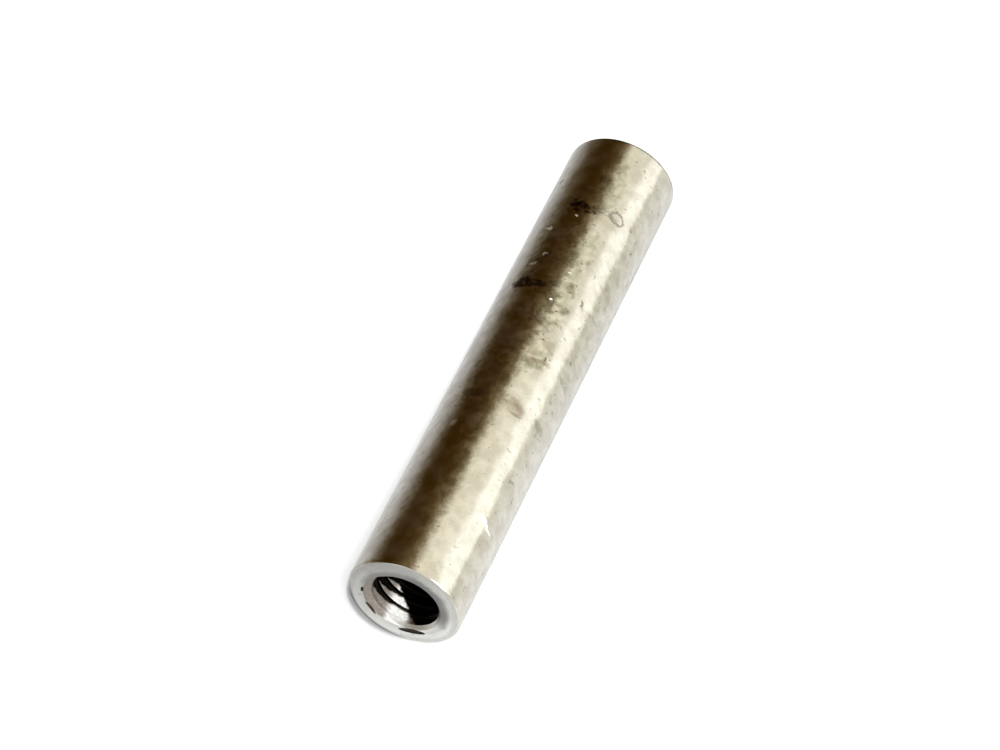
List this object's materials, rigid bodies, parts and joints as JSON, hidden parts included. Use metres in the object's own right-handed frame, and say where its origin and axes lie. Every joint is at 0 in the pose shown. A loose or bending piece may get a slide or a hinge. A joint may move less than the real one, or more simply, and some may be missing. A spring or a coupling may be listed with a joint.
{
  "type": "round threaded sleeve",
  "caption": "Plain round metal sleeve with a tapped through bore and lightly broken edges, for spacing or joining machine screws.",
  "frame": {"origin": "centre of the lower end face, where the sleeve stands", "axes": "+Z along the bore, towards the end whose mouth the picture shows"},
  "size_m": [0.007, 0.007, 0.036],
  "materials": {
    "sleeve_metal": "turned bright, with a light handling stain"
  },
  "bodies": {
    "root": {"threaded_sleeve": "sleeve_metal"}
  },
  "joints": []
}
